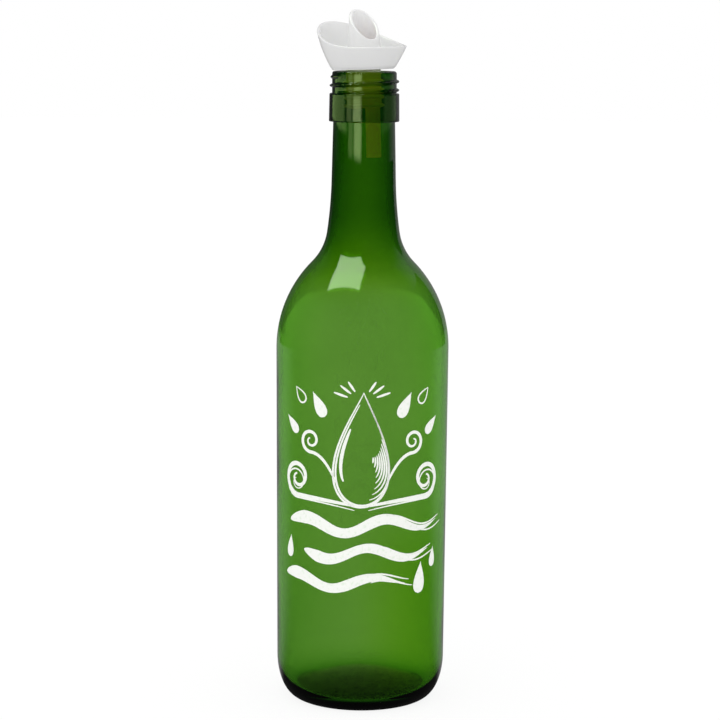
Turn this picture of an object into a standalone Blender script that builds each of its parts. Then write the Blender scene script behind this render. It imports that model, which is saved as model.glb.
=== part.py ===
"""An oil bottle of green glass, with a white pourer pressed into its mouth.

Metres, +Z up. The origin is the centre of the base, level with what the bottle stands on. The front is -Y.
A lean is the angle between a wall and straight up, positive where the wall closes in as it climbs.
"""

import math

import bmesh
import bpy
from mathutils import Vector

MM = 0.001

# Outside of the glass, from the foot up
FOOT_RADIUS = 28.25 * MM
FOOT_FLAT = 2.0 * MM
PUSH_UP_HEIGHT = 6.0 * MM
HEEL_RADIUS = 37.3 * MM
HEEL_HEIGHT = 18.7 * MM
BODY_TOP = 157.0 * MM
BODY_LEAN = math.radians(-0.29)
SHOULDER_ARC = 54.0 * MM
SHOULDER_LEAN = math.radians(44.5)
COVE_ARC = 23.85 * MM
COVE_LEAN = math.radians(8.13)
NECK_ARC = 188.5 * MM
NECK_LEAN = math.radians(1.285)

# Collar and mouth
COLLAR_BOTTOM = 256.5 * MM
COLLAR_TOP = 268.7 * MM
COLLAR_FOOT_RADIUS = 15.35 * MM
COLLAR_TOP_RADIUS = 15.18 * MM
COLLAR_EDGE = 0.45 * MM
LIP_HEIGHT = 278.3 * MM
MOUTH_RADIUS = 14.05 * MM
LIP_EDGE = 1.2 * MM
BORE_EDGE = 0.7 * MM
BORE_RADIUS = 9.6 * MM
BORE_LENGTH = 5.0 * MM
NECK_BORE_RADIUS = 9.85 * MM

# Thickness of the glass
BODY_WALL = 2.0 * MM
NECK_WALL = 3.7 * MM
WALL_CHANGE = (178.0 * MM, 208.0 * MM)
INNER_HEEL_HEIGHT = 17.0 * MM
INNER_FLOOR_RADIUS = 27.0 * MM
INNER_FLOOR_LOW = 6.0 * MM
INNER_FLOOR_CENTRE = 11.0 * MM

# Screw thread
THREAD_PITCH = 3.7 * MM
THREAD_TURNS = 2.04
THREAD_START = math.radians(-60.0)
THREAD_START_HEIGHT = 268.63 * MM
THREAD_HEIGHT = 1.05 * MM
THREAD_WIDTH = 2.1 * MM
THREAD_CREST = 0.8 * MM
THREAD_SUNK = 0.6 * MM
THREAD_FADE = math.radians(75.0)
THREAD_STEPS_PER_TURN = 40

# Pourer, from the lip up. It is tilted to the left about the lower end of its plug.
POURER_TILT = math.radians(1.9)
LIP_GAP = 0.3 * MM
CUP_BASE_RADIUS = 13.65 * MM
CUP_BASE_EDGE = 0.5 * MM
CUP_FLARE = 0.423
CUP_FLARE_TO_RIGHT = 0.07
CUP_BULGE = 0.8 * MM
CUP_BULGE_HEIGHT = 18.0 * MM
CUP_WALL = 1.2 * MM
CUP_FLOOR = 2.2 * MM
CUP_FLOOR_EDGE = 1.0 * MM
RIM_LOW = 10.4 * MM
RIM_RISE = 11.2 * MM
RIM_PEAK = math.radians(220.0)
RIM_SHARPNESS = 2.55
RIM_SLANT = 0.17 * MM
NOZZLE_OFFSET = 0.63 * MM
NOZZLE_BASE_RADIUS = 7.65 * MM
NOZZLE_TAPER = 0.062
NOZZLE_WALL = 1.3 * MM
NOZZLE_LOW = 13.6 * MM
NOZZLE_RISE = 13.0 * MM
NOZZLE_PEAK = math.radians(214.0)
NOZZLE_BOW = 0.85 * MM

# Plug and vent tube, below the lip
PLUG_RADIUS = 7.6 * MM
PLUG_DEPTH = 15.8 * MM
FIN_RADIUS = 8.9 * MM
FIN_COUNT = 4
FIN_PITCH = 3.45 * MM
FIN_FIRST_DEPTH = 4.4 * MM
FIN_THICKNESS = 1.6 * MM
VENT_OFFSET = 3.7 * MM
VENT_RADIUS = 3.25 * MM
VENT_BORE_RADIUS = 2.2 * MM
VENT_DEPTH = 37.4 * MM
CHANNEL_OFFSET = -2.7 * MM
CHANNEL_RADIUS = 2.75 * MM
CHANNEL_STRETCH = 1.56

GLASS_SIDES = 48
POURER_SIDES = 36
TUBE_SIDES = 18
PAST_FACE = 2.0 * MM

GLASS_GREEN = (0.035, 0.22, 0.012, 1.0)
PLASTIC_WHITE = (0.8, 0.8, 0.78, 1.0)


def clear_scene():
    """Remove every object of the scene."""
    for old in list(bpy.data.objects):
        bpy.data.objects.remove(old)


def make_material(name, colour, roughness, transmission=0.0):
    """A plain Principled material."""
    material = bpy.data.materials.new(name)
    material.use_nodes = True
    shader = material.node_tree.nodes["Principled BSDF"]
    shader.inputs["Base Color"].default_value = colour
    shader.inputs["Roughness"].default_value = roughness
    shader.inputs["Metallic"].default_value = 0.0
    shader.inputs["Transmission Weight"].default_value = transmission
    return material


def add_object(name, mesh, material):
    """Put a mesh into the scene as a smooth-shaded object."""
    mesh.materials.append(material)
    mesh.shade_smooth()
    mesh.set_sharp_from_angle(angle=math.radians(35))
    shape = bpy.data.objects.new(name, mesh)
    bpy.context.scene.collection.objects.link(shape)
    return shape


def add_helper(name, mesh, parent=None):
    """Put a mesh into the scene as a tool for a Boolean, left out of the model."""
    helper = bpy.data.objects.new(name, mesh)
    bpy.context.scene.collection.objects.link(helper)
    helper.parent = parent
    helper.hide_render = True
    helper.display_type = "WIRE"
    return helper


def add_boolean(target, tool, operation):
    """Join a helper to an object, or cut it out."""
    modifier = target.modifiers.new(tool.name, "BOOLEAN")
    modifier.operation = operation
    modifier.solver = "EXACT"
    modifier.object = tool


def smooth_step(low, high, value):
    """0 below low, 1 above high, with an even change between."""
    share = min(max((value - low) / (high - low), 0.0), 1.0)
    return share * share * (3 - 2 * share)


def wall_arc(start, lean, end_lean, radius, steps):
    """(radius, height, lean) along an arc that climbs from start, without start itself."""
    side = 1 if end_lean > lean else -1
    points = []
    for step in range(1, steps + 1):
        now = lean + (end_lean - lean) * step / steps
        points.append(
            (
                start[0] - side * radius * (math.cos(lean) - math.cos(now)),
                start[1] + side * radius * (math.sin(now) - math.sin(lean)),
                now,
            )
        )
    return points


def quarter_round(corner, start, end, steps):
    """(radius, height) along a quarter ellipse that leaves start and reaches end round its centre."""
    points = []
    for step in range(1, steps + 1):
        turn = math.pi / 2 * step / steps
        points.append(
            (
                corner[0] + (start[0] - corner[0]) * math.cos(turn) + (end[0] - corner[0]) * math.sin(turn),
                corner[1] + (start[1] - corner[1]) * math.cos(turn) + (end[1] - corner[1]) * math.sin(turn),
            )
        )
    return points


def side_wall():
    """(radius, height, lean) of the outside from the top of the heel to the collar."""
    body_radius = HEEL_RADIUS - (BODY_TOP - HEEL_HEIGHT) * math.tan(BODY_LEAN)
    wall = [(HEEL_RADIUS, HEEL_HEIGHT, BODY_LEAN), (body_radius, BODY_TOP, BODY_LEAN)]
    wall += wall_arc(wall[-1], BODY_LEAN, SHOULDER_LEAN, SHOULDER_ARC, 10)
    wall += wall_arc(wall[-1], SHOULDER_LEAN, COVE_LEAN, COVE_ARC, 7)
    wall += wall_arc(wall[-1], COVE_LEAN, NECK_LEAN, NECK_ARC, 4)
    radius, height, lean = wall[-1]
    wall.append((radius - (COLLAR_BOTTOM - height) * math.tan(lean), COLLAR_BOTTOM, lean))
    return wall


def dome(edge_radius, edge_height, centre_height, steps):
    """(radius, height) of a shallow dome from its centre on the axis to its edge, which it leaves out."""
    points = []
    for step in range(steps):
        share = step / steps
        points.append((edge_radius * share, edge_height + (centre_height - edge_height) * (1 - share**2)))
    return points


def outer_outline():
    """(radius, height) of the outside, from the middle of the push-up to the lip."""
    flat_inside = FOOT_RADIUS - FOOT_FLAT
    outline = dome(flat_inside, 0.0, PUSH_UP_HEIGHT, 5)
    outline += [(flat_inside, 0.0), (FOOT_RADIUS, 0.0)]
    outline += quarter_round((FOOT_RADIUS, HEEL_HEIGHT), (FOOT_RADIUS, 0.0), (HEEL_RADIUS, HEEL_HEIGHT), 7)
    outline += [(radius, height) for radius, height, lean in side_wall()[1:]]
    edge = COLLAR_EDGE
    outline += [(COLLAR_FOOT_RADIUS - edge, COLLAR_BOTTOM), (COLLAR_FOOT_RADIUS, COLLAR_BOTTOM + edge)]
    outline += [(COLLAR_TOP_RADIUS, COLLAR_TOP - edge), (COLLAR_TOP_RADIUS - edge, COLLAR_TOP)]
    outline += [(MOUTH_RADIUS, COLLAR_TOP), (MOUTH_RADIUS, LIP_HEIGHT - LIP_EDGE)]
    outline += quarter_round(
        (MOUTH_RADIUS - LIP_EDGE, LIP_HEIGHT - LIP_EDGE),
        (MOUTH_RADIUS, LIP_HEIGHT - LIP_EDGE),
        (MOUTH_RADIUS - LIP_EDGE, LIP_HEIGHT),
        3,
    )
    return outline


def glass_thickness(height):
    """Thickness of the wall, square to the glass."""
    return BODY_WALL + (NECK_WALL - BODY_WALL) * smooth_step(*WALL_CHANGE, height)


def inner_outline():
    """(radius, height) of the inside, from the lip down to the middle of the floor."""
    outline = [
        (BORE_RADIUS + BORE_EDGE, LIP_HEIGHT),
        (BORE_RADIUS, LIP_HEIGHT - BORE_EDGE),
        (BORE_RADIUS, LIP_HEIGHT - BORE_LENGTH),
        (NECK_BORE_RADIUS, COLLAR_TOP - COLLAR_EDGE),
    ]
    for radius, height, lean in reversed(side_wall()[1:]):
        thickness = glass_thickness(height)
        outline.append((radius - thickness * math.cos(lean), height - thickness * math.sin(lean)))
    top = (HEEL_RADIUS - BODY_WALL, INNER_HEEL_HEIGHT + INNER_FLOOR_LOW)
    outline.append(top)
    outline += quarter_round(
        (INNER_FLOOR_RADIUS, top[1]), top, (INNER_FLOOR_RADIUS, INNER_FLOOR_LOW), 6
    )
    outline += reversed(dome(INNER_FLOOR_RADIUS, INNER_FLOOR_LOW, INNER_FLOOR_CENTRE, 4))
    return outline


def spin_outline(name, outline, sides):
    """Turn an outline that starts and ends on the Z axis into a closed mesh."""
    shape = bmesh.new()
    corners = [shape.verts.new((radius, 0.0, height)) for radius, height in outline]
    edges = [shape.edges.new(pair) for pair in zip(corners[:-1], corners[1:])]
    bmesh.ops.spin(
        shape,
        geom=corners + edges,
        cent=(0, 0, 0),
        axis=(0, 0, 1),
        angle=math.tau,
        steps=sides,
        use_merge=True,
    )
    bmesh.ops.remove_doubles(shape, verts=shape.verts, dist=0.001 * MM)
    bmesh.ops.recalc_face_normals(shape, faces=shape.faces)
    mesh = bpy.data.meshes.new(name)
    shape.to_mesh(mesh)
    shape.free()
    return mesh


def skin_rings(name, rings, start=None, end=None):
    """Bridge rings of points, in order, and close each end with a fan to a point or with one face."""
    shape = bmesh.new()
    loops = [[shape.verts.new(point) for point in ring] for ring in rings]
    count = len(loops[0])
    for lower, upper in zip(loops[:-1], loops[1:]):
        for side in range(count):
            after = (side + 1) % count
            shape.faces.new((lower[side], lower[after], upper[after], upper[side]))
    for loop, middle in ((loops[0], start), (loops[-1], end)):
        if middle is None:
            shape.faces.new(loop)
            continue
        hub = shape.verts.new(middle)
        for side in range(count):
            shape.faces.new((loop[side], loop[(side + 1) % count], hub))
    bmesh.ops.recalc_face_normals(shape, faces=shape.faces)
    mesh = bpy.data.meshes.new(name)
    shape.to_mesh(mesh)
    shape.free()
    return mesh


def thread_mesh():
    """One ridge that climbs round the mouth, sunk a little into the glass, and fades at its upper end."""
    steps = round(THREAD_TURNS * THREAD_STEPS_PER_TURN)
    length = THREAD_TURNS * math.tau
    rings = []
    for step in range(steps + 1):
        turned = length * step / steps
        fade = smooth_step(0.0, THREAD_FADE, length - turned)
        run_in = smooth_step(0.0, THREAD_FADE / 2, turned)
        crest = MOUTH_RADIUS - THREAD_SUNK * 0.7 + (THREAD_HEIGHT + THREAD_SUNK * 0.7) * fade * run_in
        foot = MOUTH_RADIUS - THREAD_SUNK
        height = THREAD_START_HEIGHT + THREAD_PITCH * turned / math.tau
        angle = THREAD_START + turned
        around = Vector((math.sin(angle), -math.cos(angle), 0.0))
        up = Vector((0.0, 0.0, 1.0))
        rings.append(
            [
                around * foot + up * (height - THREAD_WIDTH / 2),
                around * crest + up * (height - THREAD_CREST / 2),
                around * crest + up * (height + THREAD_CREST / 2),
                around * foot + up * (height + THREAD_WIDTH / 2),
            ]
        )
    return skin_rings("thread", rings)


def flat_ring(radius, height, centre=0.0):
    """A level ring of points, from the front towards the right."""
    return [
        (centre + radius * math.sin(angle), -radius * math.cos(angle), height)
        for angle in (math.tau * side / POURER_SIDES for side in range(POURER_SIDES))
    ]


def cup_radius(angle, height):
    """Outer radius of the flared and slightly bulging cup."""
    flare = CUP_FLARE + CUP_FLARE_TO_RIGHT * math.sin(angle)
    risen = height - cup_seat()
    bulge = CUP_BULGE * math.sin(math.pi * min(max(risen / CUP_BULGE_HEIGHT, 0.0), 1.0))
    return CUP_BASE_RADIUS + flare * risen + bulge


def cup_seat():
    """Height of the cup's underside in the pourer's own frame, so that its low side keeps clear of the lip."""
    return LIP_GAP + CUP_BASE_RADIUS * math.sin(POURER_TILT)


def rim_height(angle):
    """Height of the cup's rim: low in front and on the right, a shell at the back on the left."""
    share = (1 + math.cos(angle - RIM_PEAK)) / 2
    return RIM_LOW + RIM_RISE * share**RIM_SHARPNESS - RIM_SLANT * math.sin(angle)


def nozzle_height(angle):
    """Height of the nozzle's oblique, slightly bowed mouth."""
    share = (1 + math.cos(angle - NOZZLE_PEAK)) / 2
    return NOZZLE_LOW + NOZZLE_RISE * share + NOZZLE_BOW * 4 * share * (1 - share)


def nozzle_radius(height):
    """Outer radius of the slightly tapered nozzle."""
    return NOZZLE_BASE_RADIUS - NOZZLE_TAPER * height


def rim_ring(inwards, below, share=1.0):
    """A ring that follows the cup's rim, or lies at a share of its height above the cup's underside."""
    ring = []
    for side in range(POURER_SIDES):
        angle = math.tau * side / POURER_SIDES
        height = cup_seat() + (rim_height(angle) - below - cup_seat()) * share
        radius = cup_radius(angle, height) - inwards
        ring.append((radius * math.sin(angle), -radius * math.cos(angle), height))
    return ring


def nozzle_ring(inwards, below):
    """A ring that follows the nozzle's mouth."""
    ring = []
    for side in range(POURER_SIDES):
        angle = math.tau * side / POURER_SIDES
        height = nozzle_height(angle) - below
        radius = nozzle_radius(height) - inwards
        ring.append((NOZZLE_OFFSET + radius * math.sin(angle), -radius * math.cos(angle), height))
    return ring


def plug_rings():
    """Rings of the plug from its lower end up to the cup's underside, with its sealing fins."""
    rings = [flat_ring(PLUG_RADIUS - CUP_BASE_EDGE, -PLUG_DEPTH)]
    for fin in reversed(range(FIN_COUNT)):
        middle = -(FIN_FIRST_DEPTH + FIN_PITCH * fin)
        below = max(middle - FIN_THICKNESS / 2, -PLUG_DEPTH + LIP_GAP)
        rings.append(flat_ring(PLUG_RADIUS, below))
        rings.append(flat_ring(FIN_RADIUS, middle))
        rings.append(flat_ring(PLUG_RADIUS, middle + FIN_THICKNESS / 2))
    rings.append(flat_ring(PLUG_RADIUS, cup_seat()))
    return rings


def pourer_mesh():
    """Plug, cup and nozzle as one closed surface."""
    rings = plug_rings()
    edge = CUP_BASE_EDGE
    rings.append(flat_ring(CUP_BASE_RADIUS - edge, cup_seat()))
    rings.append(flat_ring(CUP_BASE_RADIUS + CUP_FLARE * edge, cup_seat() + edge))
    rim_edge = CUP_WALL * 0.3
    rings.append(rim_ring(0.0, 0.0, share=0.5))
    rings.append(rim_ring(0.0, rim_edge))
    rings.append(rim_ring(rim_edge, 0.0))
    rings.append(rim_ring(CUP_WALL - rim_edge, 0.0))
    rings.append(rim_ring(CUP_WALL, rim_edge))
    rings.append(rim_ring(CUP_WALL, 0.0, share=0.5))
    floor_radius = CUP_BASE_RADIUS + CUP_FLARE * (CUP_FLOOR - cup_seat()) - CUP_WALL
    rings.append(flat_ring(floor_radius, CUP_FLOOR + CUP_FLOOR_EDGE))
    rings.append(flat_ring(floor_radius - CUP_FLOOR_EDGE, CUP_FLOOR))
    rings.append(flat_ring(NOZZLE_BASE_RADIUS, CUP_FLOOR, NOZZLE_OFFSET))
    mouth_edge = NOZZLE_WALL * 0.25
    rings.append(nozzle_ring(0.0, mouth_edge))
    rings.append(nozzle_ring(mouth_edge, 0.0))
    rings.append(nozzle_ring(NOZZLE_WALL - mouth_edge, 0.0))
    rings.append(nozzle_ring(NOZZLE_WALL, mouth_edge))
    rings.append(flat_ring(NOZZLE_BASE_RADIUS - NOZZLE_WALL, CUP_FLOOR, NOZZLE_OFFSET))
    return skin_rings("pourer", rings, start=(0, 0, -PLUG_DEPTH), end=(NOZZLE_OFFSET, 0, CUP_FLOOR))


def rod_mesh(name, centre, radius, low, high, stretch=1.0):
    """An upright rod in the pourer's own frame, round or stretched from front to back."""
    rings = []
    for height in (low, high):
        rings.append(
            [
                (centre + radius * math.sin(angle), -radius * stretch * math.cos(angle), height)
                for angle in (math.tau * (side + 0.5) / TUBE_SIDES for side in range(TUBE_SIDES))
            ]
        )
    return skin_rings(name, rings)


def build_bottle():
    """The glass, with its thread."""
    glass = make_material("green_glass", GLASS_GREEN, 0.04, transmission=1.0)
    bottle = add_object(
        "bottle", spin_outline("bottle", outer_outline() + inner_outline(), GLASS_SIDES), glass
    )
    add_boolean(bottle, add_helper("thread", thread_mesh()), "UNION")
    return bottle


def build_pourer():
    """The white moulding, tilted a little in the mouth."""
    plastic = make_material("white_plastic", PLASTIC_WHITE, 0.25)
    pourer = add_object("pourer", pourer_mesh(), plastic)
    pourer.location = (-PLUG_DEPTH * math.sin(POURER_TILT), 0.0, LIP_HEIGHT)
    pourer.rotation_euler = (0.0, -POURER_TILT, 0.0)
    inside_plug = -PLUG_DEPTH / 2
    tube = rod_mesh("vent_tube", VENT_OFFSET, VENT_RADIUS, -VENT_DEPTH, inside_plug)
    add_boolean(pourer, add_helper("vent_tube", tube, pourer), "UNION")
    vent = rod_mesh(
        "vent_bore", VENT_OFFSET, VENT_BORE_RADIUS, -VENT_DEPTH - PAST_FACE, CUP_FLOOR + PAST_FACE
    )
    add_boolean(pourer, add_helper("vent_bore", vent, pourer), "DIFFERENCE")
    channel = rod_mesh(
        "channel",
        CHANNEL_OFFSET,
        CHANNEL_RADIUS,
        -PLUG_DEPTH - PAST_FACE,
        CUP_FLOOR + PAST_FACE,
        CHANNEL_STRETCH,
    )
    add_boolean(pourer, add_helper("channel", channel, pourer), "DIFFERENCE")
    return pourer


def main():
    """Build the whole object."""
    clear_scene()
    build_bottle()
    build_pourer()


main()
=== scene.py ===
"""An oil bottle of green glass with a white pourer, dressed for a studio picture.

Metres, +Z up, the printed front towards -Y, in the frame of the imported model. A lean is the angle between a
wall and straight up, positive where the wall closes in as it climbs.
"""

import logging
import math
from collections.abc import Sequence
from dataclasses import dataclass, field
from enum import Enum
from typing import Any

import bmesh
import bpy
import numpy as np
from mathutils import Matrix, Vector


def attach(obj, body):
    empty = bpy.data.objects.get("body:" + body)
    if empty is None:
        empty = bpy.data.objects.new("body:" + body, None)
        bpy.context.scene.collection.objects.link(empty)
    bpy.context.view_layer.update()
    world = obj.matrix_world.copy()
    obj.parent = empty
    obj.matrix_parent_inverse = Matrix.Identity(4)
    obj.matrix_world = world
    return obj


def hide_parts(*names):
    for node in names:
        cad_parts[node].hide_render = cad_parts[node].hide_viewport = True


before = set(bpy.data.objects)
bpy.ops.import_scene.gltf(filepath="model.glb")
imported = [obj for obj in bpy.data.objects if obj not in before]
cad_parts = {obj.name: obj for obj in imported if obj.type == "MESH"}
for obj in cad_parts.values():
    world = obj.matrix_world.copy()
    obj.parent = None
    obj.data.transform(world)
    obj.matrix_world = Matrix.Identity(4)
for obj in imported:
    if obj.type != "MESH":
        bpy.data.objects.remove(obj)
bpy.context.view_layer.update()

MM = 0.001
HOLD = 0.06 * MM
HOLD_SHARE = 0.2
BODY = "root"
WHITE = (1.0, 1.0, 1.0, 1.0)

# How far back the grey that gloss sees starts and is full, the levels there, and how far round it dims
GLOSS_ON_TABLE = (0.1, 0.55, 0.03, 0.32)
GLOSS_ABOVE = (0.1, 0.6, 0.03, 0.28)
GLOSS_TURN = 0.3

Pair = tuple[float, float]
Triple = tuple[float, float, float]
Colour = tuple[float, float, float, float]
Levels = tuple[float, float, float, float]
Level = np.ndarray | float
Socket = bpy.types.NodeSocket
Tree = bpy.types.NodeTree
Node = bpy.types.Node
Material = bpy.types.Material
Object = bpy.types.Object
Mesh = bpy.types.Mesh

logging.basicConfig(level=logging.INFO, format="%(levelname)s %(message)s")
log = logging.getLogger("oil_bottle")


# Small helpers


def placed(name: str, data: Any) -> Object:
    """Put a new object with its data into the scene."""
    item = bpy.data.objects.new(name, data)
    bpy.context.scene.collection.objects.link(item)
    return item


def smooth_step(low: float, high: float, value: float) -> float:
    """Rise evenly from 0 at low to 1 at high.

    Args:
        low: the value below which the result is 0.
        high: the value above which the result is 1.
        value: the value to place between them.

    Returns:
        The share, with a level start and end.
    """
    share = min(max((value - low) / (high - low), 0.0), 1.0)
    return share * share * (3 - 2 * share)


def wall_arc(start: Pair, lean: float, end_lean: float, radius: float, steps: int) -> list[Triple]:
    """Climb along an arc of a turned wall.

    Args:
        start: radius and height where the arc starts.
        lean: the wall's lean at the start.
        end_lean: its lean at the end.
        radius: the arc's own radius.
        steps: how many points to give.

    Returns:
        (radius, height, lean) of each point, without the start.
    """
    side = 1 if end_lean > lean else -1
    points = []
    for step in range(1, steps + 1):
        now = lean + (end_lean - lean) * step / steps
        along = start[0] - side * radius * (math.cos(lean) - math.cos(now))
        height = start[1] + side * radius * (math.sin(now) - math.sin(lean))
        points.append((along, height, now))
    return points


def quarter_round(corner: Pair, start: Pair, end: Pair, steps: int) -> list[Pair]:
    """Follow a quarter ellipse from start to end round its centre.

    Args:
        corner: the ellipse's centre.
        start: where it starts.
        end: where it ends, a quarter of a turn on.
        steps: how many points to give.

    Returns:
        The points after the start.
    """
    points = []
    for step in range(1, steps + 1):
        turn = math.pi / 2 * step / steps
        out, up = math.cos(turn), math.sin(turn)
        x = corner[0] + (start[0] - corner[0]) * out + (end[0] - corner[0]) * up
        points.append((x, corner[1] + (start[1] - corner[1]) * out + (end[1] - corner[1]) * up))
    return points


def straight(start: Sequence[float], end: Sequence[float], step: float) -> list[tuple[float, ...]]:
    """Divide a straight line into even steps, with a short one at each end that keeps the shading flat.

    Args:
        start: where it starts.
        end: where it ends.
        step: about how long each step is.

    Returns:
        The points after the start, the end among them.
    """
    first, last = np.array(start, float), np.array(end, float)
    length = float(np.linalg.norm((last - first)[:2]))
    count = max(1, round(length / step))
    hold = min(HOLD / length, HOLD_SHARE)
    shares = [hold] + [k / count for k in range(1, count)] + [1 - hold, 1.0]
    return [tuple(first + (last - first) * share) for share in shares]


def plain_mesh(name: str, corners: np.ndarray, faces: list[tuple[int, ...]]) -> Mesh:
    """Make a mesh of points and faces, with its faces pointing out.

    Args:
        name: the mesh's name.
        corners: one row of three numbers for each point.
        faces: the numbers of each face's corners.

    Returns:
        The mesh.
    """
    mesh = bpy.data.meshes.new(name)
    mesh.from_pydata(corners.tolist(), [], faces)
    shape = bmesh.new()
    shape.from_mesh(mesh)
    bmesh.ops.recalc_face_normals(shape, faces=shape.faces)
    shape.to_mesh(mesh)
    shape.free()
    return mesh


def revolve(name: str, outline: list[Pair], sides: int) -> Mesh:
    """Turn an outline that starts and ends on the axis into a closed mesh.

    Args:
        name: the mesh's name.
        outline: radius and height of each point, in order.
        sides: how many steps make one turn.

    Returns:
        The mesh, with each ring's points from the front towards the right.
    """
    turn = np.arange(sides) * math.tau / sides
    rings = [
        np.stack([radius * np.sin(turn), -radius * np.cos(turn), np.full(sides, height)], axis=1)
        for radius, height in outline[1:-1]
    ]
    return skin(name, rings, (0.0, 0.0, outline[0][1]), (0.0, 0.0, outline[-1][1]))


def skin(
    name: str, rings: list[np.ndarray], start: Sequence[float] | None, end: Sequence[float] | None
) -> Mesh:
    """Bridge rings of points in order, and close both ends.

    Args:
        name: the mesh's name.
        rings: rings with the same number of points.
        start: the middle of the fan that closes the first ring, or None for one flat face.
        end: the same for the last ring.

    Returns:
        The closed mesh.
    """
    sides = len(rings[0])
    corners = list(rings)
    faces: list[tuple[int, ...]] = []
    for ring in range(len(rings) - 1):
        low, high = ring * sides, (ring + 1) * sides
        for side in range(sides):
            after = (side + 1) % sides
            faces.append((low + side, low + after, high + after, high + side))
    hub = len(rings) * sides
    for first, middle in ((0, start), ((len(rings) - 1) * sides, end)):
        if middle is None:
            faces.append(tuple(range(first, first + sides)))
            continue
        corners.append(np.array([middle], float))
        faces += [(first + side, first + (side + 1) % sides, hub) for side in range(sides)]
        hub += 1
    return plain_mesh(name, np.concatenate(corners), faces)


def finished(piece: Object, slot: str, *nodes: str, sharp: float = math.radians(35)) -> Object:
    """Shade a finished piece, let it ride on the body, and report it.

    Args:
        piece: the object, in place.
        slot: not used.
        nodes: the CAD nodes that it stands for.
        sharp: the angle from which an edge stays sharp.

    Returns:
        The same object.
    """
    piece.data.shade_smooth()
    piece.data.set_sharp_from_angle(angle=sharp)
    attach(piece, BODY)
    if nodes:
        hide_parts(*nodes)
    piece.data.calc_loop_triangles()
    log.info("%s: %d triangles", piece.name, len(piece.data.loop_triangles))
    return piece


# Geometry Nodes in plain formulas


@dataclass(frozen=True)
class Reading:
    """A number that a tree works out for each point, ready for plain arithmetic."""

    sheet: "NodeSheet"
    socket: Socket

    def __add__(self, other: "Reading | float") -> "Reading":
        """Add."""
        return self.sheet.calc("ADD", self, other)

    __radd__ = __add__

    def __mul__(self, other: "Reading | float") -> "Reading":
        """Multiply."""
        return self.sheet.calc("MULTIPLY", self, other)

    __rmul__ = __mul__

    def __sub__(self, other: "Reading | float") -> "Reading":
        """Take away."""
        return self.sheet.calc("SUBTRACT", self, other)

    def __rsub__(self, other: float) -> "Reading":
        """Take this away from a number."""
        return self.sheet.calc("SUBTRACT", other, self)

    def __truediv__(self, other: "Reading | float") -> "Reading":
        """Divide."""
        return self.sheet.calc("DIVIDE", self, other)


class NodeSheet:
    """A Geometry Nodes tree, with short ways to write it and to run it on a mesh."""

    def __init__(self, name: str) -> None:
        """Start a tree that takes a geometry and gives one.

        Args:
            name: the tree's name.
        """
        self.tree = bpy.data.node_groups.new(name, "GeometryNodeTree")
        self.tree.interface.new_socket("Geometry", in_out="INPUT", socket_type="NodeSocketGeometry")
        self.tree.interface.new_socket("Geometry", in_out="OUTPUT", socket_type="NodeSocketGeometry")
        self.entry = self.tree.nodes.new("NodeGroupInput")
        self.exit = self.tree.nodes.new("NodeGroupOutput")
        self.sizes: dict[str, float] = {}

    def size(self, name: str, value: float) -> Reading:
        """Give the tree a named input, with the value it is run with."""
        item = self.tree.interface.new_socket(name, in_out="INPUT", socket_type="NodeSocketFloat")
        self.sizes[item.identifier] = value
        return Reading(self, self.entry.outputs[name])

    def add(self, kind: str, inputs: dict[str | int, Any] | None = None, **settings: Any) -> Node:
        """Add a node.

        Args:
            kind: the node's type.
            inputs: what goes into its sockets: a Reading, a socket or a value.
            settings: the node's own options.

        Returns:
            The node.
        """
        node = self.tree.nodes.new(kind)
        for key, value in settings.items():
            setattr(node, key, value)
        for key, value in (inputs or {}).items():
            feed(self.tree, node.inputs[key], value.socket if isinstance(value, Reading) else value)
        return node

    def calc(self, operation: str, *values: "Reading | float") -> Reading:
        """Work out one step of arithmetic."""
        node = self.add("ShaderNodeMath", dict(enumerate(values)), operation=operation)
        return Reading(self, node.outputs[0])

    def rise(self, low: "Reading | float", high: "Reading | float", value: Reading) -> Reading:
        """Rise evenly from 0 at low to 1 at high."""
        node = self.add(
            "ShaderNodeMapRange",
            {"Value": value, "From Min": low, "From Max": high},
            interpolation_type="SMOOTHSTEP",
        )
        return Reading(self, node.outputs["Result"])

    def place(self) -> tuple[Reading, Reading, Reading]:
        """Read each point's X, Y and Z."""
        position = self.add("GeometryNodeInputPosition")
        parts = self.add("ShaderNodeSeparateXYZ", {0: position.outputs[0]})
        x, y, z = (Reading(self, part) for part in parts.outputs)
        return x, y, z

    def vector(self, *parts: "Reading | float") -> Socket:
        """Join three numbers into a vector."""
        return self.add("ShaderNodeCombineXYZ", dict(enumerate(parts))).outputs[0]

    def attribute(self, name: str) -> Reading:
        """Read a number stored on the points."""
        stored = self.add("GeometryNodeInputNamedAttribute", {"Name": name})
        return Reading(self, stored.outputs["Attribute"])

    def noise(self, scale: float, detail: float = 0.0) -> Node:
        """Add even noise over the points, always the same."""
        return self.add("ShaderNodeTexNoise", {"Scale": scale, "Detail": detail})

    def end(self, geometry: Socket, material: Material) -> None:
        """Realize what the tree made and give it its material."""
        real = self.add("GeometryNodeRealizeInstances", {"Geometry": geometry})
        dressed = self.add("GeometryNodeSetMaterial", {"Geometry": real.outputs[0], "Material": material})
        self.tree.links.new(dressed.outputs[0], self.exit.inputs[0])

    def run(self, name: str, mesh: Mesh) -> Object:
        """Run the tree on a mesh.

        Args:
            name: the name of the object to make.
            mesh: what goes into the tree.

        Returns:
            A plain object of the result, without a modifier.
        """
        source = placed(name + "_source", mesh)
        modifier = source.modifiers.new(self.tree.name, "NODES")
        modifier.node_group = self.tree
        for identifier, value in self.sizes.items():
            modifier[identifier] = value
        return plain_copy(name, source)


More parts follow.
